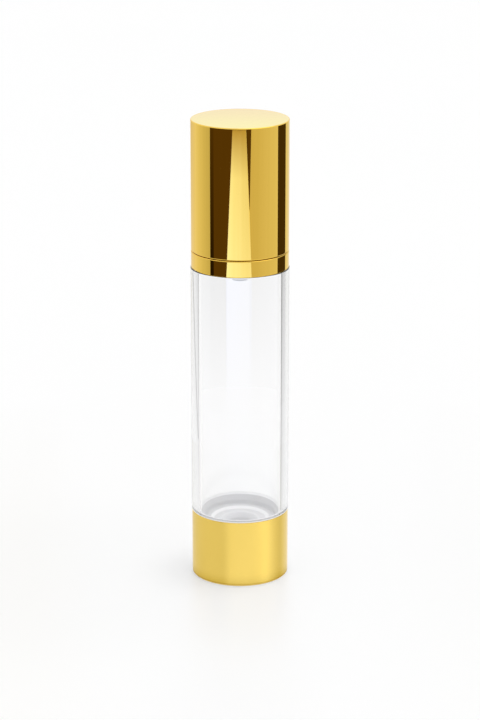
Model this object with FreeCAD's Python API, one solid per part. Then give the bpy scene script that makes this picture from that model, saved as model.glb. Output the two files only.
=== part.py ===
import FreeCAD, Part
import math
import os

# Airless pump bottle, in mm. The bottle's axis is Z, z = 0 is the table, and the spout faces -Y.

os.makedirs("parts", exist_ok=True)
Vector = FreeCAD.Vector
UP = Vector(0, 0, 1)
FRONT = Vector(0, -1, 0)

# Outside of the bottle
tube_d = 33.0            # clear tube
tube_wall = 2.8          # its thick wall
tube_h = 85.3            # clear length between base and collar
sleeve_inset = 0.15      # the gold sleeves stand this far inside the tube's outside
sleeve_wall = 0.5        # drawn aluminium
base_h = 22.9
collar_h = 5.6
seam = 0.2               # open line between collar and overcap
cap_h = 44.0

# Clearances
press_gap = 0.03         # pieces pressed together for good
seal_gap = 0.05          # sealing lips against their bore or seat
slide_gap = 0.1          # pieces that slide over each other
button_gap = 0.35        # push button in the collar's mouth
stop_gap = 0.1           # left open at an end stop
rim_gap = 0.1            # between the tube's ends and the sleeves' rims

# Edges
tube_edge = 0.3
sleeve_edge = 0.35       # rounded rims of the sleeves at the seam and the top
cut_edge = 0.12          # broken edges of the sleeves
soft = 0.4               # inner rounding of moulded pieces

# Base
foot_w = 3.6             # width of the ring that the bottle stands on
foot_rise = 0.5          # the base's centre stands this far off the table
foot_edge = 0.6          # rounded lower edge
vent_d = 2.4             # air inlet behind the follower
insert_wall = 0.9
insert_floor = 1.2
plug_wall = 1.3          # plug that enters the tube's bore
plug_h = 8.3
tail_gap = 0.4           # tube's lower end above the insert's floor
snap_rise = 0.3          # bead that clips the tube into the insert
snap_w = 1.6
snap_h = 5.0             # height of the bead above the insert's floor

# Follower piston
follower_h = 12.6
follower_wall = 0.95
follower_waist = 0.45    # its side stands this far off the bore between the lips
lip_h = 2.0              # each flared lip
lip_tip = 0.4            # thickness of the lips at their rims
cup_depth = 3.3          # rim down to the outer deck
deck_w = 2.5             # width of the outer deck
step_w = 0.9             # sloped step inside the deck
step_drop = 0.75
dimple_r = 5.9           # pocket for the pump's tip
dimple_slope = 1.4
dimple_drop = 1.9
web_t = 1.2

# Shoulder and neck of the tube
shoulder_rise = 3.0      # stepped shoulder inside the collar
shoulder_t = 2.0
shoulder_gap = 0.1
ceiling_edge = 0.5
neck_h = 8.8
neck_wall = 2.4
bead_rise = 0.7          # bead that the petals clip under
bead_h = 1.4
bead_drop = 3.2          # bead's middle below the neck's rim

# Pump
chamber_d = 9.0
housing_wall = 1.2
housing_gap = 0.3        # housing in the neck
stroke = 4.5
gasket_t = 0.8
flange_t = 1.2
guide_plug = 2.0         # length of the stem guide inside the chamber
guide_flange = 0.9
guide_neck = 3.0         # raised neck of the stem guide
guide_neck_wall = 1.0
stem_d = 5.2
stem_bore_d = 2.6
stem_stop_t = 1.0        # shoulder that stops the stem and drives the piston
stem_stop_gap = 0.6      # between that shoulder and the chamber
piston_l = 4.6
piston_core = 0.75       # thickness of the piston's sleeve
piston_lip = 0.45
slip = 0.8               # piston moves this far on the stem to open the outlet
valve_head_t = 1.0
valve_head_d = 6.6
valve_seat = 0.6         # width of the seat on the valve head
pin_l = 9.0              # pin of the rod inside and below the stem
pin_flat = 0.4           # depth of the three flats that let the product pass
bottom_gap = 0.4         # valve head above the chamber's floor at the end of the stroke
floor_t = 1.0
inlet_boss_d = 6.1
inlet_boss_h = 2.6
inlet_d = 1.8
inlet_land = 0.5         # straight inlet below the ball's seat
ball_d = 3.0
ball_pocket_gap = 0.35
ball_gap = 0.02
ball_stop = 0.5          # nubs that keep the ball in its pocket
ball_stop_w = 0.9

# Clip of the pump
petal_wall = 1.1
petals = 6
petal_slot = 1.4
clip_lip = 0.35          # the clip reaches this far over the stem guide
clip_top = 0.85
lock_h = 3.2             # ring that locks the petals

# Return spring
spring_seat = 6.4        # spring's upper seat below the spout's axis
wire_d = 0.8
spring_in = 0.32         # between the button's socket and the coil
spring_out = 0.35        # between the coil and the pump's clip
turns = 6
end_pitch = 1.35

# Push button
mouth_lip = 2.47         # collar's inturned lip around the push button
button_room = 4.77       # free height between the button and the overcap's liner
button_edge = 0.8
dish_w = 2.2             # rim around the dished top
dish_drop = 0.5
button_wall = 1.2
socket_wall = 1.25
seat_r = 6.2             # web that the spring pushes on
button_ribs = 6
button_rib_t = 1.0
guide_lap = 1.6          # button's skirt inside the collar's mouth
spout_drop = 7.2         # spout's axis below the button's top
spout_d = 5.8
spout_plug_d = 4.2
spout_plug_l = 4.6
spout_seat = 0.9         # spout's head sunk in the button's wall
spout_tip = 0.7          # coned tip
outlet_d = 1.6
spout_clear = 1.8        # between spout and overcap
channel_wall = 1.2

# Overcap
liner_wall = 0.8
liner_top = 1.2
liner_ribs = 8
liner_rib_w = 1.0
liner_rib_d = 0.5
grip_rise = 0.05         # ring inside the liner that grips the collar's guide
grip_h = 1.2
grip_z = 3.6             # above the liner's rim

# Levels
tube_top = base_h + tube_h
collar_top = tube_top + collar_h
cap_bottom = collar_top + seam
cap_top = cap_bottom + cap_h
cap_roof = cap_top - sleeve_wall - press_gap - liner_top
insert_z = foot_rise + sleeve_wall
insert_top = insert_z + insert_floor
tail_z = insert_top + tail_gap
plug_top = insert_top + plug_h
follower_z = plug_top + stop_gap
shoulder_top = tube_top + shoulder_rise
ceiling = shoulder_top - shoulder_t
neck_top = shoulder_top + neck_h
bead_z = neck_top - bead_drop
flange_z = neck_top + gasket_t
housing_top = flange_z + flange_t
guide_z = housing_top - guide_plug
stem_stop_z = guide_z - stop_gap - stem_stop_t
piston_top = stem_stop_z - stop_gap - slip
piston_z = piston_top - piston_l
valve_head_z = piston_z - seal_gap - valve_head_t
chamber_floor = valve_head_z - stroke - bottom_gap
housing_z = chamber_floor - floor_t
inlet_z = housing_z - inlet_boss_h
spring_z = housing_top + guide_flange
guide_neck_top = spring_z + guide_neck
clip_z = spring_z + stop_gap / 2
clip_top_z = clip_z + clip_top
skirt_z = clip_top_z + stroke + bottom_gap
mouth_z = skirt_z + guide_lap
button_top = cap_roof - button_room
socket_z = guide_neck_top + stroke + bottom_gap
spout_z = button_top - spout_drop
stem_top = spout_z - spout_d / 2 - channel_wall
spring_top = spout_z - spring_seat
spring_h = spring_top - spring_z

# Radii
tube_r = tube_d / 2
bore_r = tube_r - tube_wall
sleeve_r = tube_r - sleeve_inset
sleeve_in = sleeve_r - sleeve_wall
insert_r = sleeve_in - press_gap
insert_in = insert_r - insert_wall
tail_r = insert_in - press_gap
plug_r = bore_r - 2 * press_gap
foot_r = sleeve_r - foot_w
shoulder_r = sleeve_in - shoulder_gap
liner_r = sleeve_in - press_gap
liner_in = liner_r - liner_wall
guide_r = liner_in - slide_gap
guide_in = guide_r - sleeve_wall
chamber_r = chamber_d / 2
housing_r = chamber_r + housing_wall
neck_bore_r = housing_r + housing_gap
neck_r = neck_bore_r + neck_wall
bead_r = neck_r + bead_rise
petal_in = bead_r + press_gap
petal_r = petal_in + petal_wall
lock_r = petal_r + press_gap
stem_r = stem_d / 2
stem_bore_r = stem_bore_d / 2
ball_r = ball_d / 2
pocket_r = ball_r + ball_pocket_gap
inlet_r = inlet_d / 2
mouth_r = guide_in - mouth_lip
button_r = mouth_r - button_gap
button_in = button_r - sleeve_wall
core_r = button_in - press_gap
core_in = core_r - button_wall
socket_r = stem_r + press_gap
socket_out = socket_r + socket_wall
spring_r = socket_out + spring_in + wire_d / 2
clip_in = spring_r + wire_d / 2 + spring_out
guide_flange_r = clip_in + clip_lip
spout_reach = liner_in - spout_clear


def outline(corners):
    """Closed wire in the XZ plane; a corner (r, z, f) is rounded with radius f."""
    points = [Vector(corner[0], 0, corner[1]) for corner in corners]
    count = len(points)
    starts = []
    ends = []
    edges = []
    for i, corner in enumerate(corners):
        radius = corner[2] if len(corner) > 2 else 0
        to_last = (points[i - 1] - points[i]).normalize()
        to_next = (points[(i + 1) % count] - points[i]).normalize()
        half = to_last.getAngle(to_next) / 2
        cut = radius / math.tan(half)
        starts.append(points[i] + to_last * cut)
        ends.append(points[i] + to_next * cut)
        if radius:
            middle = points[i] + (to_last + to_next).normalize() * (radius / math.sin(half) - radius)
            edges.append(Part.Arc(starts[i], middle, ends[i]).toShape())
    for i in range(count):
        edges.append(Part.makeLine(ends[i], starts[(i + 1) % count]))
    return Part.Wire(Part.__sortEdges__(edges))


def turned(corners):
    """Solid turned about Z from an outline of (r, z) corners."""
    solid = Part.Face(outline(corners)).revolve(Vector(), UP, 360)
    if solid.Volume < 0:
        solid.reverse()
    return solid


def round_bar(radius, start, along, length):
    return Part.makeCylinder(radius, length, start, along)


def rib(thickness, inner, outer, low, high):
    """Radial plate on the +X side between two radii and two levels."""
    return Part.makeBox(outer - inner, thickness, high - low, Vector(inner, -thickness / 2, low))


def around(shape, count, first=0.0):
    """Copies of a shape spread evenly about Z."""
    copies = []
    for i in range(count):
        copy = shape.copy()
        copy.rotate(Vector(), UP, first + 360.0 * i / count)
        copies.append(copy)
    return copies


def save(name, shape):
    solids = shape.Solids
    if len(solids) != 1 or not shape.isValid():
        raise ValueError(name + " is not one sound solid")
    solids[0].exportStep("parts/" + name + ".step")


def base_shell():
    return turned([
        (vent_d / 2, foot_rise),
        (foot_r - foot_rise, foot_rise, soft),
        (foot_r, 0, soft),
        (sleeve_r, 0, foot_edge),
        (sleeve_r, base_h - rim_gap, cut_edge),
        (sleeve_in, base_h - rim_gap, cut_edge),
        (sleeve_in, sleeve_wall, cut_edge),
        (foot_r, sleeve_wall, soft),
        (foot_r - foot_rise, insert_z, soft),
        (vent_d / 2, insert_z),
    ])


def base_insert():
    snap_z = insert_top + snap_h
    return turned([
        (vent_d / 2, insert_z),
        (insert_r, insert_z, soft),
        (insert_r, base_h - rim_gap),
        (insert_in, base_h - rim_gap),
        (insert_in, snap_z + snap_w / 2),
        (insert_in + snap_rise, snap_z + snap_w / 4),
        (insert_in + snap_rise, snap_z - snap_w / 4),
        (insert_in, snap_z - snap_w / 2),
        (insert_in, insert_top),
        (plug_r, insert_top),
        (plug_r, plug_top, soft),
        (plug_r - plug_wall, plug_top),
        (plug_r - plug_wall, insert_top, soft),
        (vent_d / 2, insert_top),
    ])


def bottle_body():
    snap_z = insert_top + snap_h
    return turned([
        (bore_r, tail_z, soft),
        (tail_r, tail_z, soft),
        (tail_r, snap_z - snap_w / 2),
        (tail_r + snap_rise, snap_z - snap_w / 4),
        (tail_r + snap_rise, snap_z + snap_w / 4),
        (tail_r, snap_z + snap_w / 2),
        (tail_r, base_h),
        (tube_r, base_h, tube_edge),
        (tube_r, tube_top, tube_edge),
        (shoulder_r, tube_top),
        (shoulder_r, shoulder_top, soft),
        (neck_r, shoulder_top, soft),
        (neck_r, bead_z - bead_h / 2),
        (bead_r, bead_z - bead_h / 4),
        (bead_r, bead_z),
        (neck_r, bead_z + bead_h / 2),
        (neck_r, neck_top),
        (neck_bore_r, neck_top),
        (neck_bore_r, ceiling, soft),
        (bore_r, ceiling, ceiling_edge),
    ])


def follower_piston():
    rim = follower_z + follower_h
    deck = rim - cup_depth
    plateau = deck - step_drop
    pocket = plateau - dimple_drop
    lip_r = bore_r - seal_gap
    side_r = bore_r - follower_waist
    wall_in = side_r - follower_wall
    step_out = wall_in - deck_w
    step_in = step_out - step_w
    floor_r = dimple_r - dimple_slope
    return turned([
        (0, pocket),
        (floor_r, pocket, soft),
        (dimple_r, plateau, soft),
        (step_in, plateau, soft),
        (step_out, deck, soft),
        (wall_in, deck, soft),
        (wall_in, rim - lip_h),
        (lip_r - lip_tip, rim),
        (lip_r, rim),
        (side_r, rim - lip_h),
        (side_r, follower_z + lip_h),
        (lip_r, follower_z),
        (lip_r - lip_tip, follower_z),
        (wall_in, follower_z + lip_h),
        (wall_in, deck - web_t, soft),
        (step_out - web_t / 2, deck - web_t),
        (step_in - web_t / 2, plateau - web_t),
        (dimple_r + web_t / 2, plateau - web_t, soft),
        (floor_r + web_t / 2, pocket - web_t, soft),
        (0, pocket - web_t),
    ])


def neck_gasket():
    return turned([
        (neck_bore_r, neck_top),
        (neck_r, neck_top),
        (neck_r, flange_z),
        (neck_bore_r, flange_z),
    ])


def pump_housing():
    boss_r = inlet_boss_d / 2
    seat_z = inlet_z + inlet_land
    stop_r = ball_r - ball_stop / 3
    shell = turned([
        (inlet_r, inlet_z),
        (boss_r, inlet_z, soft),
        (boss_r, housing_z, soft / 2),
        (housing_r, housing_z, soft),
        (housing_r, flange_z),
        (neck_r, flange_z),
        (neck_r, housing_top),
        (chamber_r, housing_top),
        (chamber_r, chamber_floor, soft / 2),
        (pocket_r, chamber_floor),
        (pocket_r, seat_z + pocket_r - inlet_r),
        (inlet_r, seat_z),
    ])
    nub = rib(ball_stop_w, stop_r, pocket_r + floor_t / 2, chamber_floor - ball_stop, chamber_floor)
    return shell.fuse(around(nub, 3)).removeSplitter()


def inlet_ball():
    seat_z = inlet_z + inlet_land
    centre = seat_z - inlet_r + ball_r * math.sqrt(2) + ball_gap
    return Part.makeSphere(ball_r, Vector(0, 0, centre))


def piston_rod():
    pin_r = stem_bore_r - press_gap
    head_top = valve_head_z + valve_head_t
    seat_in = valve_head_d / 2 - valve_seat
    rod = turned([
        (0, valve_head_z),
        (valve_head_d / 2, valve_head_z, soft / 2),
        (valve_head_d / 2, head_top),
        (seat_in, head_top),
        (seat_in - valve_seat / 2, head_top - valve_seat / 2),
        (pin_r, head_top - valve_seat / 2),
        (pin_r, head_top + pin_l),
        (0, head_top + pin_l),
    ])
    flat = rib(2 * pin_r, pin_r - pin_flat, 2 * pin_r, head_top, head_top + 2 * pin_l)
    return rod.cut(around(flat, 3))


def stem():
    stop_r = chamber_r - stem_stop_gap
    foot_z = piston_z + piston_l / 2
    return turned([
        (stem_bore_r, foot_z),
        (stem_r, foot_z),
        (stem_r, stem_stop_z),
        (stop_r, stem_stop_z),
        (stop_r, stem_stop_z + stem_stop_t),
        (stem_r, stem_stop_z + stem_stop_t),
        (stem_r, stem_top),
        (stem_bore_r, stem_top),
    ])


def pump_piston():
    lip_r = chamber_r - seal_gap
    bore = stem_r + seal_gap
    core = bore + piston_core
    middle = piston_z + piston_l / 2
    seat_out = valve_head_d / 2 - seal_gap
    groove = lip_r - piston_lip - core
    return turned([
        (bore, piston_z),
        (seat_out, piston_z),
        (core, piston_z + piston_lip),
        (core, middle - 2 * piston_lip, groove / 4),
        (lip_r - piston_lip, piston_z),
        (lip_r, piston_z),
        (lip_r - piston_lip / 2, middle - piston_lip),
        (lip_r - piston_lip / 2, middle + piston_lip),
        (lip_r, piston_top - piston_lip),
        (lip_r - piston_lip, piston_top - piston_lip),
        (core, middle + 2 * piston_lip, groove / 4),
        (core, piston_top),
        (bore, piston_top),
    ])


def stem_guide():
    bore = stem_r + slide_gap
    return turned([
        (bore, guide_z),
        (chamber_r - press_gap, guide_z),
        (chamber_r - press_gap, housing_top),
        (guide_flange_r, housing_top),
        (guide_flange_r, spring_z),
        (bore + guide_neck_wall, spring_z),
        (bore + guide_neck_wall, guide_neck_top, soft),
        (bore, guide_neck_top, soft / 2),
    ])


def snap_fixture():
    hook_top = bead_z - bead_h / 2 - press_gap
    low = shoulder_top + stop_gap + soft
    clip = turned([
        (clip_in, clip_z),
        (guide_flange_r + press_gap, clip_z),
        (guide_flange_r + press_gap, housing_top),
        (petal_in, housing_top),
        (petal_in, hook_top),
        (neck_r + press_gap, hook_top),
        (neck_r + press_gap, low + soft),
        (neck_r + soft, low),
        (petal_r, low),
        (petal_r, clip_top_z, soft),
        (clip_in, clip_top_z),
    ])
    slot = rib(petal_slot, neck_r, petal_r + petal_wall, low - soft, neck_top - gasket_t)
    return clip.cut(around(slot, petals))


def shoulder_liner():
    ring_r = sleeve_in - press_gap
    ledge = collar_top - sleeve_wall - press_gap
    wall_r = guide_in - press_gap
    wall_in = wall_r - button_wall
    top = mouth_z - sleeve_wall - press_gap
    round_in = min(soft, (wall_in - lock_r) / 2)
    return turned([
        (lock_r, shoulder_top),
        (ring_r, shoulder_top),
        (ring_r, ledge),
        (wall_r, ledge),
        (wall_r, top),
        (mouth_r, top),
        (mouth_r, top - button_wall),
        (wall_in, top - button_wall, soft),
        (wall_in, shoulder_top + lock_h, round_in),
        (lock_r, shoulder_top + lock_h),
    ])


def collar_shell():
    return turned([
        (sleeve_in, tube_top + rim_gap),
        (sleeve_r, tube_top + rim_gap, cut_edge),
        (sleeve_r, collar_top, sleeve_edge),
        (guide_r, collar_top, cut_edge),
        (guide_r, mouth_z, sleeve_edge),
        (mouth_r, mouth_z, cut_edge),
        (mouth_r, mouth_z - sleeve_wall),
        (guide_in, mouth_z - sleeve_wall),
        (guide_in, collar_top - sleeve_wall),
        (sleeve_in, collar_top - sleeve_wall),
    ])


def coil_point(turn):
    """Middle of the wire after so many turns; the pitch is small at both ends."""
    share = turn / turns
    rise = spring_h - wire_d - stop_gap
    ease = share - math.sin(2 * math.pi * share) / (2 * math.pi)
    height = end_pitch * turn + (rise - end_pitch * turns) * ease
    angle = 2 * math.pi * turn
    level = spring_z + wire_d / 2 + stop_gap / 2 + height
    return Vector(spring_r * math.cos(angle), spring_r * math.sin(angle), level)


def coil_direction(turn):
    share = turn / turns
    rise = spring_h - wire_d - stop_gap
    pitch = end_pitch + (rise / turns - end_pitch) * (1 - math.cos(2 * math.pi * share))
    angle = 2 * math.pi * turn
    lap = 2 * math.pi * spring_r
    return Vector(-lap * math.sin(angle), lap * math.cos(angle), pitch).normalize()


def tangent_arc(start, corner, end):
    """Arc from start to end whose end tangents meet at the corner."""
    weight = (end - start).Length / (corner - start).Length / 2
    middle = (start + corner * (2 * weight) + end) * (1 / (2 + 2 * weight))
    return Part.Arc(start, middle, end).toShape()


def quarter_turn(turn):
    """Two arcs that follow the coil for a quarter of a turn without a kink."""
    start = coil_point(turn)
    end = coil_point(turn + 0.25)
    leave = coil_direction(turn)
    arrive = coil_direction(turn + 0.25)
    chord = end - start
    both = leave + arrive
    a = both.dot(both) - 4
    b = -2 * chord.dot(both)
    c = chord.dot(chord)
    reach = (-b - math.sqrt(b * b - 4 * a * c)) / (2 * a)
    first = start + leave * reach
    second = end - arrive * reach
    joint = (first + second) * 0.5
    return [tangent_arc(start, first, joint), tangent_arc(joint, second, end)]


def least_coil_gap():
    """Least free distance between one coil and the next, on points along the wire."""
    steps = 24
    gaps = []
    for i in range((turns - 1) * steps + 1):
        here = coil_point(i / steps)
        for k in range(steps // 2, 3 * steps // 2 + 1):
            later = i / steps + k / steps
            if later <= turns:
                gaps.append((coil_point(later) - here).Length - wire_d)
    return min(gaps)


def return_spring():
    edges = []
    for i in range(4 * turns):
        edges += quarter_turn(i / 4)
    path = Part.Wire(edges)
    ring = Part.makeCircle(wire_d / 2, coil_point(0), coil_direction(0))
    print("least gap between the spring's coils: %.3f mm" % least_coil_gap())
    return path.makePipeShell([Part.Wire(ring)], True, False)


def actuator_shell():
    dish_r = button_r - dish_w
    cover = turned([
        (0, button_top - dish_drop),
        (dish_r - dish_w, button_top - dish_drop, dish_w),
        (dish_r, button_top, soft),
        (button_r, button_top, button_edge),
        (button_r, skirt_z, cut_edge),
        (button_in, skirt_z, cut_edge),
        (button_in, button_top - sleeve_wall, soft),
        (dish_r, button_top - sleeve_wall, soft),
        (dish_r - dish_w, button_top - dish_drop - sleeve_wall, dish_w),
        (0, button_top - dish_drop - sleeve_wall),
    ])
    hole = round_bar(spout_d / 2 + press_gap, UP * spout_z, FRONT, 2 * button_r)
    return cover.cut(hole)


def actuator_body():
    top = button_top - sleeve_wall - dish_drop - press_gap
    under = top - button_wall
    cup = turned([
        (0, stem_top),
        (socket_r, stem_top),
        (socket_r, socket_z),
        (socket_out, socket_z, soft),
        (socket_out, spring_top),
        (seat_r, spring_top),
        (seat_r, spring_top + button_wall),
        (socket_out, spring_top + button_wall),
        (socket_out, under),
        (core_in, under, soft),
        (core_in, skirt_z + sleeve_wall),
        (core_r, skirt_z + sleeve_wall),
        (core_r, top, soft),
        (0, top),
    ])
    plate = rib(button_rib_t, socket_r + socket_wall / 2, core_in + button_wall / 2, spring_top, under + soft)
    axis = UP * spout_z
    room = round_bar(core_in + button_wall / 2, UP * spring_top, UP, under - spring_top)
    boss = round_bar(spout_d / 2 + channel_wall / 2, axis, FRONT, core_r).common(room)
    solid = cup.fuse(around(plate, button_ribs) + [boss])
    seat = axis + FRONT * (core_r - spout_seat)
    riser = round_bar(stem_bore_r, UP * (stem_top - channel_wall), UP, spout_z - stem_top + channel_wall)
    outlet = round_bar(stem_bore_r, axis, FRONT, core_r - spout_seat)
    plug = round_bar(spout_plug_d / 2 + press_gap, seat - FRONT * spout_plug_l, FRONT, button_r)
    head = round_bar(spout_d / 2 + press_gap, seat, FRONT, button_r)
    elbow = Part.makeSphere(stem_bore_r, axis)
    return solid.cut([riser, outlet, plug, head, elbow]).removeSplitter()


def nozzle_insert():
    seat_y = core_r - spout_seat
    outlet_r = outlet_d / 2
    back = seat_y - spout_plug_l + stop_gap
    spout = turned([
        (outlet_r, back),
        (spout_plug_d / 2, back, soft),
        (spout_plug_d / 2, seat_y),
        (spout_d / 2, seat_y),
        (spout_d / 2, spout_reach - spout_tip),
        (spout_d / 2 - spout_tip, spout_reach, soft / 2),
        (outlet_r + soft, spout_reach),
        (outlet_r, spout_reach - soft),
    ])
    spout.rotate(Vector(), Vector(1, 0, 0), 90)
    spout.translate(UP * spout_z)
    return spout


def overcap_shell():
    return turned([
        (0, cap_top),
        (sleeve_r, cap_top, sleeve_edge),
        (sleeve_r, cap_bottom, sleeve_edge),
        (sleeve_in, cap_bottom, cut_edge),
        (sleeve_in, cap_top - sleeve_wall, cut_edge),
        (0, cap_top - sleeve_wall),
    ])


def overcap_liner():
    low = cap_bottom + rim_gap
    top = cap_roof + liner_top
    cup = turned([
        (0, top),
        (liner_r, top, soft),
        (liner_r, low),
        (liner_in, low, soft / 2),
        (liner_in, low + grip_z),
        (liner_in - grip_rise, low + grip_z + grip_rise),
        (liner_in - grip_rise, low + grip_z + grip_h),
        (liner_in, low + grip_z + grip_h + grip_rise),
        (liner_in, cap_roof, soft),
        (0, cap_roof),
    ])
    inner = liner_in - liner_rib_d
    outer = liner_in + liner_wall / 2
    plate = rib(liner_rib_w, inner, outer, mouth_z + soft, cap_roof + soft)
    return cup.fuse(around(plate, liner_ribs, 180.0 / liner_ribs)).removeSplitter()


save("base_shell", base_shell())
save("base_insert", base_insert())
save("bottle_body", bottle_body())
save("follower_piston", follower_piston())
save("neck_gasket", neck_gasket())
save("pump_housing", pump_housing())
save("inlet_ball", inlet_ball())
save("piston_rod", piston_rod())
save("stem", stem())
save("pump_piston", pump_piston())
save("stem_guide", stem_guide())
save("snap_fixture", snap_fixture())
save("shoulder_liner", shoulder_liner())
save("collar_shell", collar_shell())
save("return_spring", return_spring())
save("actuator_shell", actuator_shell())
save("actuator_body", actuator_body())
save("nozzle_insert", nozzle_insert())
save("overcap_shell", overcap_shell())
save("overcap_liner", overcap_liner())
print("total height %.2f, pump tip at %.2f, follower rim at %.2f, ceiling at %.2f"
      % (cap_top, inlet_z, follower_z + follower_h, ceiling))
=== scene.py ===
import math

import bmesh
import bpy
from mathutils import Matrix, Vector


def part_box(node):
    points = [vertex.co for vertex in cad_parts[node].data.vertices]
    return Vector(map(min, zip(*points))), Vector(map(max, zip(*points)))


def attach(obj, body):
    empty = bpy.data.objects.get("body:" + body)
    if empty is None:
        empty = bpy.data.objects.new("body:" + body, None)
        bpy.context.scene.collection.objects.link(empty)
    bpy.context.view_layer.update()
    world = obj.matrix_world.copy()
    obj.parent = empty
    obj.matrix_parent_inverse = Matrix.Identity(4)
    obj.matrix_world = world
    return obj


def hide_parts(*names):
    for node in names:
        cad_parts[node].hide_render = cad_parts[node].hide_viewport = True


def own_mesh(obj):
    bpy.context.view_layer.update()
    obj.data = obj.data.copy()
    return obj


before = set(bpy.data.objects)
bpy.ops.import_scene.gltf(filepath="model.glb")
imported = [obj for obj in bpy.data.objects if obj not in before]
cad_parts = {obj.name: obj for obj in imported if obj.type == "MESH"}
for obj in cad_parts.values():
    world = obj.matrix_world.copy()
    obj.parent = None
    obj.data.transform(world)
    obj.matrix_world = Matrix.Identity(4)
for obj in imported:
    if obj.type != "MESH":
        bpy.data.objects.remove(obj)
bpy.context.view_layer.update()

# Airless pump bottle: mirror-bright gold overcap and collar, clear thick-walled tube with a white
# follower piston in its foot, satin gold base. Metres, Z up, the spout faces -Y.

mm = 0.001

# Sizes that the CAD boxes give
base_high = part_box("base_shell")[1]
tube_low, tube_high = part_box("bottle_body")
collar_low, collar_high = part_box("collar_shell")
cap_low, cap_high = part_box("overcap_shell")
button_low, button_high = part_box("actuator_shell")
spout_low, spout_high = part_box("nozzle_insert")
follower_low, follower_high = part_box("follower_piston")
spring_low, spring_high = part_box("return_spring")
housing_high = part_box("pump_housing")[1]

# Sizes inside those boxes
sleeve_wall = 0.5 * mm
cut_edge = 0.12 * mm
sleeve_edge = 0.35 * mm
soft_edge = 0.4 * mm
tube_wall = 2.8 * mm
tube_edge = 0.3 * mm
rim_gap = 0.1 * mm
turn_steps = 224
tube_steps = 448
merge_gap = 0.001 * mm
soft_angle = math.radians(40)


# Modelling by hand: a point is drawn out along an outline, its corners are rounded, and the
# outline is spun about an axis.

def leave_edit():
    if bpy.context.object and bpy.context.object.mode != "OBJECT":
        bpy.ops.object.mode_set(mode="OBJECT")


def single_point(name, place):
    leave_edit()
    bpy.ops.object.select_all(action="DESELECT")
    bpy.ops.mesh.primitive_plane_add(size=1 * mm, location=place)
    piece = bpy.context.object
    piece.name = name
    piece.data.name = name
    bpy.ops.object.transform_apply(location=True, rotation=True, scale=True)
    bpy.ops.object.mode_set(mode="EDIT")
    bpy.ops.mesh.select_mode(type="VERT")
    bpy.ops.mesh.select_all(action="SELECT")
    bpy.ops.mesh.merge(type="CENTER")
    return piece


def select_point(piece, place):
    mesh = bmesh.from_edit_mesh(piece.data)
    nearest = min(mesh.verts, key=lambda v: (v.co - place).length)
    for v in mesh.verts:
        v.select = False
    nearest.select = True
    mesh.select_flush_mode()
    bmesh.update_edit_mesh(piece.data)


def draw_outline(places):
    for before, after in zip(places, places[1:] + places[:1]):
        bpy.ops.mesh.extrude_vertices_move(TRANSFORM_OT_translate={"value": after - before})
    bpy.ops.mesh.select_all(action="SELECT")
    bpy.ops.mesh.remove_doubles(threshold=merge_gap)


def round_corners(piece, places, radii, segments):
    count = len(places)
    for i in range(count):
        if not radii[i]:
            continue
        to_last = (places[i - 1] - places[i]).normalized()
        to_next = (places[(i + 1) % count] - places[i]).normalized()
        cut = radii[i] / math.tan(to_last.angle(to_next) / 2)
        select_point(piece, places[i])
        bpy.ops.mesh.bevel(offset_type="OFFSET", offset=cut, segments=segments, profile=0.5,
                           affect="VERTICES", clamp_overlap=False)


def spun(name, corners, segments=5, steps=turn_steps, centre=Vector((0, 0, 0)), axis=Vector((0, 0, 1))):
    """Piece spun about an axis from corners (r, along the axis, rounding)."""
    out = Vector((1, 0, 0))
    places = [centre + out * c[0] + axis * c[1] for c in corners]
    radii = [c[2] if len(c) > 2 else 0 for c in corners]
    piece = single_point(name, places[0])
    draw_outline(places)
    round_corners(piece, places, radii, segments)
    bpy.ops.mesh.select_all(action="SELECT")
    bpy.ops.mesh.spin(steps=steps, angle=2 * math.pi, center=centre, axis=axis)
    bpy.ops.mesh.select_all(action="SELECT")
    bpy.ops.mesh.remove_doubles(threshold=merge_gap)
    bpy.ops.mesh.normals_make_consistent(inside=False)
    bpy.ops.object.mode_set(mode="OBJECT")
    return piece


def smooth_faces(piece):
    """Soft shading on the roundings; the flat and straight walls keep their own direction."""
    bpy.ops.object.select_all(action="DESELECT")
    piece.select_set(True)
    bpy.context.view_layer.objects.active = piece
    bpy.ops.object.shade_smooth_by_angle(angle=soft_angle)
    weigh = piece.modifiers.new("even_faces", "WEIGHTED_NORMAL")
    weigh.keep_sharp = True
    bpy.ops.object.modifier_apply(modifier=weigh.name)


def seat(piece, body, node, finish):
    smooth_faces(piece)
    piece.data.materials.clear()
    piece.data.materials.append(finish)
    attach(piece, body)
    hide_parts(node)


# Finishes

def new_finish(name):
    finish = bpy.data.materials.new(name)
    finish.use_nodes = True
    return finish, finish.node_tree.nodes, finish.node_tree.links, finish.node_tree.nodes["Principled BSDF"]


def grain(nodes, links, stretch, scale, detail=3.0):
    """Noise in the piece's own space, drawn out along an axis by the stretch."""
    place = nodes.new("ShaderNodeTexCoord")
    turn = nodes.new("ShaderNodeMapping")
    turn.inputs["Scale"].default_value = stretch
    noise = nodes.new("ShaderNodeTexNoise")
    noise.inputs["Scale"].default_value = scale
    noise.inputs["Detail"].default_value = detail
    links.new(place.outputs["Object"], turn.inputs["Vector"])
    links.new(turn.outputs["Vector"], noise.inputs["Vector"])
    return noise.outputs["Fac"]


def tone(nodes, links, value, dark, light, low=0.3, high=0.7):
    ramp = nodes.new("ShaderNodeValToRGB")
    ramp.color_ramp.elements[0].position = low
    ramp.color_ramp.elements[0].color = (*dark, 1)
    ramp.color_ramp.elements[1].position = high
    ramp.color_ramp.elements[1].color = (*light, 1)
    links.new(value, ramp.inputs["Fac"])
    return ramp.outputs["Color"]


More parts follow.
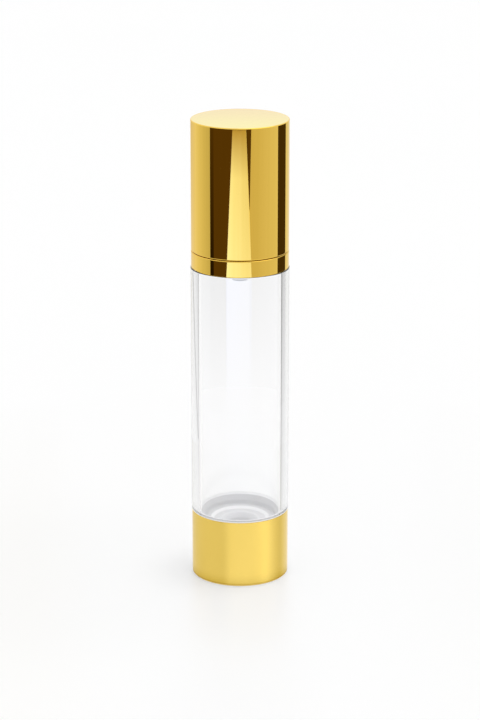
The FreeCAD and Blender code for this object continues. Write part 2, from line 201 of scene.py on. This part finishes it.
def span(nodes, links, value, low, high):
    fit = nodes.new("ShaderNodeMapRange")
    fit.inputs["From Min"].default_value = 0.25
    fit.inputs["From Max"].default_value = 0.75
    fit.inputs["To Min"].default_value = low
    fit.inputs["To Max"].default_value = high
    links.new(value, fit.inputs["Value"])
    return fit.outputs["Result"]


def relief(nodes, links, value, strength, depth):
    bump = nodes.new("ShaderNodeBump")
    bump.inputs["Strength"].default_value = strength
    bump.inputs["Distance"].default_value = depth
    links.new(value, bump.inputs["Height"])
    return bump.outputs["Normal"]


def bright_gold():
    """Polished and anodised aluminium, with the faint upright lines of the drawing die."""
    finish, nodes, links, gold = new_finish("bright_gold_anodised")
    lines = grain(nodes, links, stretch=(1, 1, 0.012), scale=900, detail=2)
    colour = tone(nodes, links, lines, dark=(0.915, 0.61, 0.10), light=(0.945, 0.63, 0.11))
    links.new(colour, gold.inputs["Base Color"])
    links.new(span(nodes, links, lines, low=0.02, high=0.04), gold.inputs["Roughness"])
    gold.inputs["Metallic"].default_value = 1.0
    return finish


def satin_gold():
    """Bead-blasted and anodised aluminium."""
    finish, nodes, links, gold = new_finish("satin_gold_anodised")
    pearl = grain(nodes, links, stretch=(1, 1, 1), scale=5200, detail=2)
    cloud = grain(nodes, links, stretch=(1, 1, 0.35), scale=110, detail=2)
    colour = tone(nodes, links, cloud, dark=(0.915, 0.645, 0.145), light=(0.945, 0.67, 0.155))
    links.new(colour, gold.inputs["Base Color"])
    links.new(span(nodes, links, cloud, low=0.21, high=0.24), gold.inputs["Roughness"])
    links.new(relief(nodes, links, pearl, strength=0.06, depth=0.02 * mm), gold.inputs["Normal"])
    gold.inputs["Metallic"].default_value = 1.0
    return finish


def clear_moulding():
    """Thick clear acrylic, with the faintest cloud in its colour."""
    finish, nodes, links, clear = new_finish("clear_acrylic")
    cloud = grain(nodes, links, stretch=(1, 1, 0.2), scale=60, detail=2)
    tint = tone(nodes, links, cloud, dark=(0.988, 0.988, 0.990), light=(0.993, 0.993, 0.994))
    links.new(tint, clear.inputs["Base Color"])
    clear.inputs["Roughness"].default_value = 0.0
    clear.inputs["Transmission Weight"].default_value = 1.0
    clear.inputs["IOR"].default_value = 1.49
    return finish


def waxy_moulding(name, dark, light, rough, glow):
    """Moulded polythene or polypropylene: soft gloss and a little depth."""
    finish, nodes, links, wax = new_finish(name)
    flow = grain(nodes, links, stretch=(1, 1, 0.4), scale=160, detail=3)
    skin = grain(nodes, links, stretch=(1, 1, 1), scale=3800, detail=2)
    links.new(tone(nodes, links, flow, dark, light), wax.inputs["Base Color"])
    links.new(span(nodes, links, flow, low=rough - 0.05, high=rough + 0.05), wax.inputs["Roughness"])
    links.new(relief(nodes, links, skin, strength=0.08, depth=0.01 * mm), wax.inputs["Normal"])
    wax.inputs["Subsurface Weight"].default_value = glow
    wax.inputs["Subsurface Scale"].default_value = 0.6 * mm
    wax.inputs["Subsurface Radius"].default_value = (1.0, 0.95, 0.9)
    return finish


def ringed_moulding(name):
    """Follower's polythene, its colour set in bands by distance from the axis: painted shade makes the cup
    wall and the dimple a shade deeper, and painted highlights make the step and the ring round the dimple
    lighter."""
    finish = waxy_moulding(name, dark=(0.70, 0.70, 0.71), light=(0.74, 0.74, 0.75), rough=0.38, glow=0.25)
    nodes, links = finish.node_tree.nodes, finish.node_tree.links
    wax = nodes["Principled BSDF"]
    place = nodes.new("ShaderNodeTexCoord")
    flat = nodes.new("ShaderNodeVectorMath")
    flat.operation = "MULTIPLY"
    flat.inputs[1].default_value = (1, 1, 0)
    length = nodes.new("ShaderNodeVectorMath")
    length.operation = "LENGTH"
    fit = nodes.new("ShaderNodeMapRange")
    fit.inputs["From Max"].default_value = tube_high.x
    painted_rings = nodes.new("ShaderNodeValToRGB")
    painted_rings.color_ramp.interpolation = "EASE"
    # Painted light and shade by radius: the pocket and the cup wall are painted darker as shade, the step
    # and the lift at 6.3 mm round the dimple are painted lighter as highlights
    pocket, plateau, step_highlight, deck, cup_wall_shade, skirt = 0.60, 0.79, 0.97, 0.77, 0.70, 0.97
    stops = [(0, pocket), (4.3, pocket + 0.01), (5.0, plateau - 0.01), (6.3, plateau + 0.05), (7.0, plateau),
             (8.7, plateau), (9.1, step_highlight), (9.7, step_highlight), (10.2, deck), (12.4, cup_wall_shade),
             (13.1, cup_wall_shade), (13.3, skirt)]
    blue_cast = 1.015
    ramp = painted_rings.color_ramp.elements
    while len(ramp) < len(stops):
        ramp.new(1.0)
    for element, (radius, level) in zip(ramp, stops):
        element.position = radius * mm / tube_high.x
        element.color = (level, level, level * blue_cast, 1)
    links.new(place.outputs["Object"], flat.inputs[0])
    links.new(flat.outputs[0], length.inputs[0])
    links.new(length.outputs["Value"], fit.inputs["Value"])
    links.new(fit.outputs["Result"], painted_rings.inputs["Fac"])
    links.new(painted_rings.outputs["Color"], wax.inputs["Base Color"])
    return finish


def bright_steel():
    finish, nodes, links, steel = new_finish("spring_steel")
    wire = grain(nodes, links, stretch=(1, 1, 1), scale=700, detail=3)
    colour = tone(nodes, links, wire, dark=(0.50, 0.50, 0.51), light=(0.62, 0.62, 0.63))
    links.new(colour, steel.inputs["Base Color"])
    links.new(span(nodes, links, wire, low=0.16, high=0.30), steel.inputs["Roughness"])
    steel.inputs["Metallic"].default_value = 1.0
    return finish


gold_bright = bright_gold()
gold_satin = satin_gold()
acrylic = clear_moulding()
follower_white = ringed_moulding("follower_polythene")
matt_ledge = waxy_moulding("matt_ledge", dark=(0.86, 0.86, 0.87), light=(0.90, 0.90, 0.91),
                           rough=0.5, glow=0)
moulded_white = waxy_moulding("white_polypropylene", dark=(0.80, 0.80, 0.79), light=(0.86, 0.86, 0.85),
                              rough=0.36, glow=0.1)
moulded_natural = waxy_moulding("natural_polypropylene", dark=(0.56, 0.57, 0.58), light=(0.63, 0.64, 0.65),
                                rough=0.34, glow=0.3)
piston_plastic = waxy_moulding("piston_polythene", dark=(0.70, 0.72, 0.74), light=(0.77, 0.79, 0.80),
                               rough=0.40, glow=0.2)
seal_rubber = waxy_moulding("seal_rubber", dark=(0.55, 0.56, 0.58), light=(0.62, 0.63, 0.65),
                            rough=0.55, glow=0.1)
steel = bright_steel()


# Pieces

def base_sleeve():
    out = base_high.x
    inner = out - sleeve_wall
    top = base_high.z
    foot_width = 3.6 * mm
    foot = out - foot_width
    rise = 0.5 * mm
    vent = 1.2 * mm
    foot_round = 0.6 * mm
    piece = spun("base_sleeve", [
        (vent, rise, 0),
        (foot - rise, rise, soft_edge),
        (foot, 0, soft_edge),
        (out, 0, foot_round),
        (out, top, cut_edge),
        (inner, top, cut_edge),
        (inner, sleeve_wall, cut_edge),
        (foot, sleeve_wall, soft_edge),
        (foot - rise, rise + sleeve_wall, soft_edge),
        (vent, rise + sleeve_wall, 0),
    ])
    seat(piece, "bottle", "base_shell", gold_satin)
    piece.visible_diffuse = False


def collar_sleeve():
    out = collar_high.x
    inner = out - sleeve_wall
    seam = 0.2 * mm
    shelf = cap_low.z - seam
    guide_step = 0.93 * mm
    guide = inner - guide_step
    guide_in = guide - sleeve_wall
    button_gap = 0.35 * mm
    mouth = button_high.x + button_gap
    top = collar_high.z
    piece = spun("collar_sleeve", [
        (inner, collar_low.z, 0),
        (out, collar_low.z, cut_edge),
        (out, shelf, sleeve_edge),
        (guide, shelf, cut_edge),
        (guide, top, sleeve_edge),
        (mouth, top, cut_edge),
        (mouth, top - sleeve_wall, 0),
        (guide_in, top - sleeve_wall, 0),
        (guide_in, shelf - sleeve_wall, 0),
        (inner, shelf - sleeve_wall, 0),
    ])
    seat(piece, "bottle", "collar_shell", gold_bright)


def cap_sleeve():
    out = cap_high.x
    inner = out - sleeve_wall
    piece = spun("cap_sleeve", [
        (0, cap_high.z, 0),
        (out, cap_high.z, sleeve_edge),
        (out, cap_low.z, sleeve_edge),
        (inner, cap_low.z, cut_edge),
        (inner, cap_high.z - sleeve_wall, cut_edge),
        (0, cap_high.z - sleeve_wall, 0),
    ], segments=8)
    seat(piece, "overcap", "overcap_shell", gold_bright)


def clear_tube():
    out = tube_high.x
    bore = out - tube_wall
    plug_wall = 0.96 * mm
    tail = base_high.x - sleeve_wall - plug_wall
    ledge = base_high.z + rim_gap
    top = collar_low.z - rim_gap
    snap = 7.2 * mm
    snap_flat = 0.4 * mm
    clip = 0.3 * mm
    shoulder = collar_high.x - sleeve_wall - rim_gap
    shoulder_top = top + 3.0 * mm
    ceiling = shoulder_top - 2.0 * mm
    ceiling_round = 0.5 * mm
    neck = housing_high.x
    neck_bore = neck - 2.4 * mm
    bead = tube_high.z - 3.2 * mm
    bead_out = 0.7 * mm
    matt_below = ledge + 0.6 * tube_edge
    piece = spun("clear_tube", [
        (bore, tube_low.z, soft_edge),
        (tail, tube_low.z, soft_edge),
        (tail, snap - 2 * snap_flat, 0),
        (tail + clip, snap - snap_flat, 0),
        (tail + clip, snap + snap_flat, 0),
        (tail, snap + 2 * snap_flat, 0),
        (tail, ledge, 0),
        (out, ledge, tube_edge),
        (out, top, tube_edge),
        (shoulder, top, 0),
        (shoulder, shoulder_top, soft_edge),
        (neck, shoulder_top, soft_edge),
        (neck, bead - bead_out, 0),
        (neck + bead_out, bead - bead_out / 2, 0),
        (neck + bead_out, bead, 0),
        (neck, bead + bead_out, 0),
        (neck, tube_high.z, 0),
        (neck_bore, tube_high.z, 0),
        (neck_bore, ceiling, soft_edge),
        (bore, ceiling, ceiling_round),
    ], steps=tube_steps)
    seat(piece, "bottle", "bottle_body", acrylic)
    piece.data.materials.append(matt_ledge)
    for face in piece.data.polygons:
        if face.center.z < matt_below:
            face.material_index = 1
    piece.visible_shadow = False
    piece.visible_diffuse = False


def follower():
    lip = follower_high.x
    rim = follower_high.z
    foot = follower_low.z
    side = lip - 0.4 * mm
    inner = side - 0.95 * mm
    tip = 0.4 * mm
    lip_height = 2.0 * mm
    lip_edge = 0.1 * mm
    lip_bend = 0.5 * mm
    web = 1.2 * mm
    deck = rim - 3.3 * mm
    step = inner - 2.5 * mm
    step_foot = step - 0.9 * mm
    plateau = deck - 0.75 * mm
    pocket = plateau - 1.9 * mm
    pocket_out = 4.5 * mm
    pocket_mouth = 5.9 * mm
    piece = spun("follower", [
        (0, pocket, 0),
        (pocket_out, pocket, soft_edge),
        (pocket_mouth, plateau, soft_edge),
        (step_foot, plateau, soft_edge),
        (step, deck, soft_edge),
        (inner, deck, soft_edge),
        (inner, rim - lip_height, lip_bend),
        (lip - tip, rim, lip_edge),
        (lip, rim, lip_edge),
        (side, rim - lip_height, lip_bend),
        (side, foot + lip_height, lip_bend),
        (lip, foot, lip_edge),
        (lip - tip, foot, lip_edge),
        (inner, foot + lip_height, lip_bend),
        (inner, deck - web, soft_edge),
        (step - web / 2, deck - web, 0),
        (step_foot - web / 2, plateau - web, 0),
        (pocket_mouth + web / 2, plateau - web, soft_edge),
        (pocket_out + web / 2, pocket - web, soft_edge),
        (0, pocket - web, 0),
    ], segments=4)
    seat(piece, "follower", "follower_piston", follower_white)


def button_cover():
    out = button_high.x
    inner = out - sleeve_wall
    top = button_high.z
    dish_round = 2.2 * mm
    dish = out - dish_round
    dish_floor = dish - dish_round
    dip = 0.5 * mm
    centre = (spout_low.z + spout_high.z) / 2
    hole_gap = 0.03 * mm
    hole = (spout_high.z - spout_low.z) / 2 + hole_gap
    hole_steps = 96
    crown_round = 0.8 * mm
    piece = spun("button_cover", [
        (0, top - dip, 0),
        (dish_floor, top - dip, dish_round),
        (dish, top, soft_edge),
        (out, top, crown_round),
        (out, button_low.z, cut_edge),
        (inner, button_low.z, cut_edge),
        (inner, top - sleeve_wall, soft_edge),
        (dish, top - sleeve_wall, soft_edge),
        (dish_floor, top - dip - sleeve_wall, dish_round),
        (0, top - dip - sleeve_wall, 0),
    ], segments=7)
    bpy.ops.object.select_all(action="DESELECT")
    bpy.ops.mesh.primitive_cylinder_add(vertices=hole_steps, radius=hole, depth=out,
                                        location=(0, -out, centre), rotation=(math.pi / 2, 0, 0))
    drill = bpy.context.object
    bore = piece.modifiers.new("spout_hole", "BOOLEAN")
    bore.operation = "DIFFERENCE"
    bore.object = drill
    bpy.context.view_layer.objects.active = piece
    bpy.ops.object.modifier_apply(modifier=bore.name)
    bpy.data.objects.remove(drill)
    seat(piece, "push_button", "actuator_shell", gold_bright)


def spout():
    middle = (spout_low.z + spout_high.z) / 2
    out = (spout_high.z - spout_low.z) / 2
    reach = -spout_low.y
    back = -spout_high.y
    seat_at = back + 4.5 * mm
    outlet = 0.8 * mm
    outlet_cut = 0.4 * mm
    outlet_round = 0.1 * mm
    face_cut = 0.7 * mm
    face_round = 0.25 * mm
    face_edge = 0.2 * mm
    plug = 2.1 * mm
    piece = spun("spout", [
        (outlet, back, 0),
        (plug, back, soft_edge),
        (plug, seat_at, 0),
        (out, seat_at, 0),
        (out, reach - face_cut, face_round),
        (out - face_cut, reach, face_edge),
        (outlet + outlet_cut, reach, outlet_round),
        (outlet, reach - outlet_cut, outlet_round),
    ], centre=Vector((0, 0, middle)), axis=Vector((0, -1, 0)))
    seat(piece, "push_button", "nozzle_insert", moulded_white)


def return_spring():
    """Round wire coiled with close ends, as it stands under the button."""
    wire = 0.4 * mm
    coil = 4.6 * mm
    turns = 6
    end_pitch = 1.35 * mm
    start = spring_low.z + wire
    rise = spring_high.z - spring_low.z - 2 * wire
    steps = 48
    bpy.ops.object.select_all(action="DESELECT")
    bpy.ops.curve.primitive_nurbs_path_add()
    piece = bpy.context.object
    piece.name = "return_spring_wire"
    piece.data.splines.clear()
    line = piece.data.splines.new("POLY")
    line.points.add(turns * steps)
    for i, point in enumerate(line.points):
        turn = i / steps
        share = turn / turns
        ease = share - math.sin(2 * math.pi * share) / (2 * math.pi)
        level = start + end_pitch * turn + (rise - end_pitch * turns) * ease
        angle = 2 * math.pi * turn
        point.co = (coil * math.cos(angle), coil * math.sin(angle), level, 1)
    piece.data.dimensions = "3D"
    piece.data.bevel_depth = wire
    piece.data.bevel_resolution = 6
    piece.data.use_fill_caps = True
    bpy.ops.object.convert(target="MESH")
    piece = bpy.context.object
    bpy.ops.object.shade_smooth_by_angle(angle=soft_angle)
    piece.data.materials.clear()
    piece.data.materials.append(steel)
    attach(piece, "bottle")
    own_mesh(piece)
    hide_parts("return_spring")


def dress(finish, *names):
    """Gives CAD nodes that stay in view their finish."""
    for name in names:
        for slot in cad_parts[name].material_slots:
            slot.material = finish


base_sleeve()
collar_sleeve()
cap_sleeve()
clear_tube()
follower()
button_cover()
spout()
return_spring()
dress(moulded_white, "base_insert", "shoulder_liner", "overcap_liner", "actuator_body")
dress(moulded_natural, "pump_housing", "snap_fixture", "stem_guide", "stem", "piston_rod")
dress(piston_plastic, "pump_piston")
dress(seal_rubber, "neck_gasket")
dress(steel, "inlet_ball")


# Studio: pale floor, white surroundings, soft light from the right, upright boards that only
# reflections see, and cards and flags that only the clear tube shows.

floor_level = 0.0
floor_size = 12
board_distance = 0.2
board_columns, board_rows = 24, 12
fan_columns = 160
fan_height = 0.3 * mm
in_and_out = 2.5


def floor():
    leave_edit()
    bpy.ops.object.select_all(action="DESELECT")
    bpy.ops.mesh.primitive_plane_add(size=floor_size, location=(0, 0, floor_level))
    table = bpy.context.object
    table.name = "floor"
    finish, nodes, links, white = new_finish("floor_white")
    cloud = grain(nodes, links, stretch=(1, 1, 1), scale=3, detail=2)
    shade = tone(nodes, links, cloud, dark=(0.975, 0.975, 0.975), light=(0.98, 0.98, 0.98))
    links.new(shade, white.inputs["Base Color"])
    white.inputs["Roughness"].default_value = 0.36
    white.inputs["IOR"].default_value = 1.4
    table.data.materials.append(finish)


def surroundings(on_object, seen):
    """White all round: one strength lights the floor and the matt pieces, the other is seen by the
    camera, in reflections and through the tube."""
    world = bpy.data.worlds.new("white_studio")
    bpy.context.scene.world = world
    world.use_nodes = True
    nodes, links = world.node_tree.nodes, world.node_tree.links
    back = nodes["Background"]
    back.inputs["Color"].default_value = (1, 1, 1, 1)
    world.cycles.sampling_method = "NONE"
    path = nodes.new("ShaderNodeLightPath")
    first = nodes.new("ShaderNodeMath")
    second = nodes.new("ShaderNodeMath")
    second.use_clamp = True
    links.new(path.outputs["Is Camera Ray"], first.inputs[0])
    links.new(path.outputs["Is Glossy Ray"], first.inputs[1])
    links.new(first.outputs[0], second.inputs[0])
    links.new(path.outputs["Is Transmission Ray"], second.inputs[1])
    fit = nodes.new("ShaderNodeMapRange")
    fit.inputs["To Min"].default_value = on_object
    fit.inputs["To Max"].default_value = seen
    links.new(second.outputs[0], fit.inputs["Value"])
    links.new(fit.outputs["Result"], back.inputs["Strength"])


def key_light(strength, azimuth, elevation, softness):
    leave_edit()
    bpy.ops.object.light_add(type="SUN", location=(0.5, -0.5, 0.8))
    key = bpy.context.object
    key.name = "soft_key"
    a, e = math.radians(azimuth), math.radians(elevation)
    towards = Vector((math.sin(a) * math.cos(e), -math.cos(a) * math.cos(e), math.sin(e)))
    key.rotation_mode = "QUATERNION"
    key.rotation_quaternion = towards.to_track_quat("Z", "Y")
    key.data.energy = strength
    key.data.angle = math.radians(softness)


def glowing(panel, one_sided=False, in_wall=False):
    """Gives off the light painted on the panel: all round, on its upper side only, or only where
    the tube's wall mirrors it, after one way in and one way out of the acrylic."""
    finish = bpy.data.materials.new(panel.name)
    finish.use_nodes = True
    nodes, links = finish.node_tree.nodes, finish.node_tree.links
    nodes.clear()
    out = nodes.new("ShaderNodeOutputMaterial")
    emit = nodes.new("ShaderNodeEmission")
    paint = nodes.new("ShaderNodeAttribute")
    paint.attribute_name = "glow"
    links.new(paint.outputs["Color"], emit.inputs["Color"])
    links.new(emit.outputs[0], out.inputs["Surface"])
    panel.data.materials.append(finish)
    if not one_sided and not in_wall:
        return
    choose = nodes.new("ShaderNodeMixShader")
    pass_through = nodes.new("ShaderNodeBsdfTransparent")
    if one_sided:
        links.new(nodes.new("ShaderNodeNewGeometry").outputs["Backfacing"], choose.inputs["Fac"])
    else:
        right_through = nodes.new("ShaderNodeMath")
        right_through.operation = "GREATER_THAN"
        right_through.inputs[1].default_value = in_and_out
        links.new(nodes.new("ShaderNodeLightPath").outputs["Transmission Depth"], right_through.inputs[0])
        links.new(right_through.outputs[0], choose.inputs["Fac"])
    links.new(emit.outputs[0], choose.inputs[1])
    links.new(pass_through.outputs[0], choose.inputs[2])
    links.new(choose.outputs[0], out.inputs["Surface"])


def show_to(panel, reflections=False, tube=False):
    panel.visible_camera = False
    panel.visible_diffuse = False
    panel.visible_shadow = False
    panel.visible_glossy = reflections
    panel.visible_transmission = tube


def new_panel(name, columns, rows):
    """Flat grid with its glow still to be painted."""
    leave_edit()
    bpy.ops.object.select_all(action="DESELECT")
    bpy.ops.mesh.primitive_grid_add(x_subdivisions=columns, y_subdivisions=rows, size=1)
    panel = bpy.context.object
    panel.name = name
    return panel, panel.data.color_attributes.new("glow", "FLOAT_COLOR", "POINT")


def low_and_high(edge):
    return edge if isinstance(edge, tuple) else (edge, edge)


def board(name, heights, left, right, glow, distance=board_distance, seen_in="reflections"):
    """Curved upright board between two heights; left and right give its edges in degrees, round
    from the camera's side to the right, as one angle or as a pair for the low and the high edge. The
    glow gives its light at the low left, low right, high left and high right corners."""
    panel, light = new_panel(name, board_columns, board_rows)
    low, high = heights
    left, right = low_and_high(left), low_and_high(right)
    corners = [Vector(shade) for shade in glow]
    for v in panel.data.vertices:
        across, up = v.co.x + 0.5, v.co.y + 0.5
        start = left[0] + (left[1] - left[0]) * up
        end = right[0] + (right[1] - right[0]) * up
        angle = math.radians(start + (end - start) * across)
        v.co = (distance * math.sin(angle), -distance * math.cos(angle), low + (high - low) * up)
        shade = corners[0].lerp(corners[1], across).lerp(corners[2].lerp(corners[3], across), up)
        light.data[v.index].color = (*shade, 1)
    glowing(panel, in_wall=seen_in == "the tube wall")
    show_to(panel, reflections=seen_in == "reflections", tube=seen_in != "reflections")


def grey(level):
    return (level, level, level)


def greys(*levels):
    return tuple(grey(level) for level in levels)


def all_over(shade):
    return (shade,) * 4


def upwards(low, high):
    return (low, low, high, high)


def sideways(left, right):
    return (left, right, left, right)


def warm_shade(level):
    """Colour of painted light: near white where it is bright, and brown where it is dark."""
    warmth = (1 - min(level, 1)) ** 2
    red = 0.98 * level
    green = level * (1 - 0.6 * warmth)
    blue = level * max(0.4, 1.04 - 4 * warmth)
    return (red, green, blue)


def foot_card(levels, rows):
    """Flat fan just above the floor that glows on its upper side only and that only reflections see: a
    painted reflection of the floor, with painted shade, which the base mirrors. The levels go round the base
    as pairs of degrees and light; the rows go outwards as pairs of distance and share, the low shares next
    to the foot being a painted shadow."""
    last_row = len(rows) - 1
    fan, light = new_panel("foot_card", fan_columns, last_row)
    start, end = levels[0][0], levels[-1][0]
    foot = base_high.x
    for v in fan.data.vertices:
        degrees = start + (end - start) * (v.co.x + 0.5)
        away, share = rows[round((v.co.y + 0.5) * last_row)]
        turn = math.radians(degrees)
        v.co = (foot * math.sin(turn) + away * math.sin(2 * turn),
                -foot * math.cos(turn) - away * math.cos(2 * turn), fan_height)
        for (left, low), (right, high) in zip(levels, levels[1:]):
            if left <= degrees <= right:
                level = share * (low + (high - low) * (degrees - left) / (right - left))
                light.data[v.index].color = (*warm_shade(level), 1)
    if fan.data.polygons[0].normal.z < 0:
        fan.data.flip_normals()
    glowing(fan, one_sided=True)
    show_to(fan, reflections=True)


floor()
surroundings(on_object=0.875, seen=1.0)
key_light(strength=0.50, azimuth=95, elevation=68, softness=50)

# Heights at which the boards' shades change
collar_line = 0.058
wedge_line = 0.086
fade_line = 0.099
top_line = 0.119
high_line = 0.135
crown_line = 0.168
full_height = (floor_level, high_line)
foot_height = (floor_level, collar_line)
cap_height = (collar_line, high_line)

# Edges of the boards round the bottle, in degrees; the front one narrows upwards
left_back, left_turn, left_line, left_shade = -158, -120, -70.9, -61.4
right_shade, right_turn, right_back = 95, 128, 158
front_edges = {
    floor_level: (-30.7, 26.0),
    collar_line: (-30.7, 26.0),
    fade_line: (-21.2, 17.2),
    top_line: (-16.5, 12.9),
    high_line: (-12.8, 9.5),
}
wedge_left = (20.9, 9.5)
wedge_right = (21.4, 26.5)

# Shades of the boards
pale = grey(0.95)
dim = grey(0.75)
dark = (0.094, 0.052, 0.009)
black = (0.016, 0.009, 0.001)
right_dark = (0.06, 0.037, 0.007)
top_shade = (0.55, 0.45, 0.30)
front_left, front_right = (1.2, 1.45, 2.8), (1.06, 1.2, 1.95)
high_left, high_right = (1.12, 1.30, 2.2), (0.96, 1.03, 1.45)
near, far = (0.68, 0.64, 0.55), (0.81, 0.81, 0.88)
left_rim = (0.70, 0.59, 0.25)
left_bright, left_soft = greys(0.90, 0.62)
left_bright_high, left_soft_high = greys(0.88, 0.60)
right_near, right_far = (0.76, 0.74, 0.55), (0.84, 0.87, 0.85)


def front_board(name, low, high, glow):
    left, right = zip(front_edges[low], front_edges[high])
    board(name, (low, high), left, right, glow)


front_foot_left, front_foot_right = front_edges[collar_line]
front_slope = (front_foot_left, front_edges[high_line][0])
board("left_end", full_height, left_back, left_turn, (pale, pale, left_rim, left_bright))
board("left_pale_low", foot_height, left_turn, left_line, (pale, pale, left_bright, left_soft))
board("left_pale", cap_height, left_turn, left_line,
      (left_bright, left_soft, left_bright_high, left_soft_high))
board("left_edge_low", foot_height, left_line, left_shade, upwards(dim, black))
board("left_edge", cap_height, left_line, left_shade, upwards(black, dark))
board("left_dark_low", foot_height, left_shade, front_foot_left, upwards(dim, dark))
board("left_dark", cap_height, left_shade, front_slope, all_over(dark))
front_board("front_low", floor_level, collar_line, (pale, pale, front_left, front_right))
front_board("front", collar_line, fade_line, (front_left, front_right, high_left, high_right))
front_board("front_fade", fade_line, top_line, (high_left, high_right, top_shade, top_shade))
front_board("front_over", top_line, high_line, all_over(dark))
board("wedge", (wedge_line, high_line), wedge_left, wedge_right, all_over(dark))
board("right_low", foot_height, front_foot_right, right_shade, (pale, pale, near, far))
board("right_middle", (collar_line, wedge_line), (front_foot_right, wedge_right[0]), right_shade,
      sideways(near, far))
board("right_high", (wedge_line, high_line), wedge_right, right_shade, sideways(near, far))
board("right_dark_low", foot_height, right_shade, right_turn, upwards(dim, right_dark))
board("right_dark", cap_height, right_shade, right_turn, all_over(right_dark))
board("right_end", full_height, right_turn, right_back, (pale, pale, right_near, right_far))

# The same shades carried on upwards, for views from lower down
for name, left, right, glow in (
        ("left_end_top", left_back, left_turn, sideways(left_rim, left_bright)),
        ("left_pale_top", left_turn, left_line, sideways(left_bright_high, left_soft_high)),
        ("left_edge_top", left_line, left_shade, all_over(dark)),
        ("dark_top", left_shade, wedge_right[1], all_over(dark)),
        ("right_top", wedge_right[1], right_shade, sideways(near, far)),
        ("right_dark_top", right_shade, right_turn, all_over(right_dark)),
        ("right_end_top", right_turn, right_back, sideways(right_near, right_far))):
    board(name, (high_line, crown_line), left, right, glow)

# Panel behind, which the flat top of the overcap mirrors
back_distance = 0.5
back_height = (0.25, 0.272)
back_low, back_high = (0.97, 1.0, 1.31), (1.06, 1.30, 1.31)
board("back_panel", back_height, 174, 186, upwards(back_low, back_high), back_distance)

# Cards behind the tube's upper half, which give it a soft grey
card_distance = 0.1
card_height = (0.035, 0.08)
card_edges = (146, 176.4, 185, 214)
for name, left, right, glow in (
        ("card_right", *card_edges[0:2], greys(0.99, 0.98, 0.96, 0.90)),
        ("card_middle", *card_edges[1:3], greys(0.99, 0.99, 0.95, 0.95)),
        ("card_left", *card_edges[2:4], greys(0.98, 0.98, 0.89, 0.91))):
    board(name, card_height, left, right, glow, card_distance, "the tube")

# Narrow flags beside the tube, which draw the dark lines along its sides
flag_distance = 0.025
tube_line = 0.115
flag_height = (floor_level, tube_line)
flag_start, flag_fade, flag_soft, flag_end = 95, 99.5, 113, 127
for name, left, right, glow in (
        ("right_flag", flag_start, flag_fade, greys(0.62, 0.85, 0.05, 0.50)),
        ("right_flag_fade", flag_fade, flag_soft, greys(0.86, 0.93, 0.62, 0.76)),
        ("right_flag_end", flag_soft, flag_end, greys(0.93, 0.98, 0.76, 0.96)),
        ("left_flag", -flag_fade, -flag_start, greys(0.95, 0.88, 0.68, 0.30)),
        ("left_flag_fade", -flag_soft, -flag_fade, greys(0.95, 0.94, 0.84, 0.76)),
        ("left_flag_end", -flag_end, -flag_soft, greys(0.98, 0.95, 0.92, 0.84))):
    board(name, flag_height, left, right, glow, flag_distance, "the tube wall")

# A slanting flag just inside the left ones, which draws the thin line next to the tube's rim
rim_flag_height = (0.045, tube_line)
rim_flag_left, rim_flag_right = (-99.5, -130), (-96.5, -124)
board("left_flag_rim", rim_flag_height, rim_flag_left, rim_flag_right, greys(0.5, 0.5, 0.35, 0.35),
      flag_distance - 1 * mm, "the tube wall")

# Painted reflection of the floor round the base: painted shade on the left and near 56 degrees, a painted
# highlight at 24 to 34 degrees, and a painted shadow at the foot that lifts as it grows outwards
round_the_base = [(-80, 0.82), (-20, 0.84), (-12, 1.01), (14, 1.03), (24, 1.09), (28, 1.17), (34, 1.17),
                  (41, 0.98), (48, 0.84), (56, 0.74), (63, 0.86), (80, 0.95)]
outwards = [(0.2 * mm, 0.50), (2 * mm, 0.84), (9 * mm, 1.0), (140 * mm, 1.0)]
foot_card(round_the_base, outwards)


# The photo's camera: a long lens in front of the bottle, looking a little down

camera_place = (0, -0.82468, 0.32787)
camera_pitch = 17.026
camera_lens = 128.15
camera_sensor = 36


def camera():
    leave_edit()
    bpy.ops.object.camera_add(location=camera_place, rotation=(math.radians(90 - camera_pitch), 0, 0))
    view = bpy.context.object
    view.data.lens = camera_lens
    view.data.sensor_width = camera_sensor
    view.data.clip_start = 0.01
    bpy.context.scene.camera = view


camera()
bpy.context.scene.view_settings.view_transform = "Standard"
bpy.context.scene.cycles.caustics_reflective = False
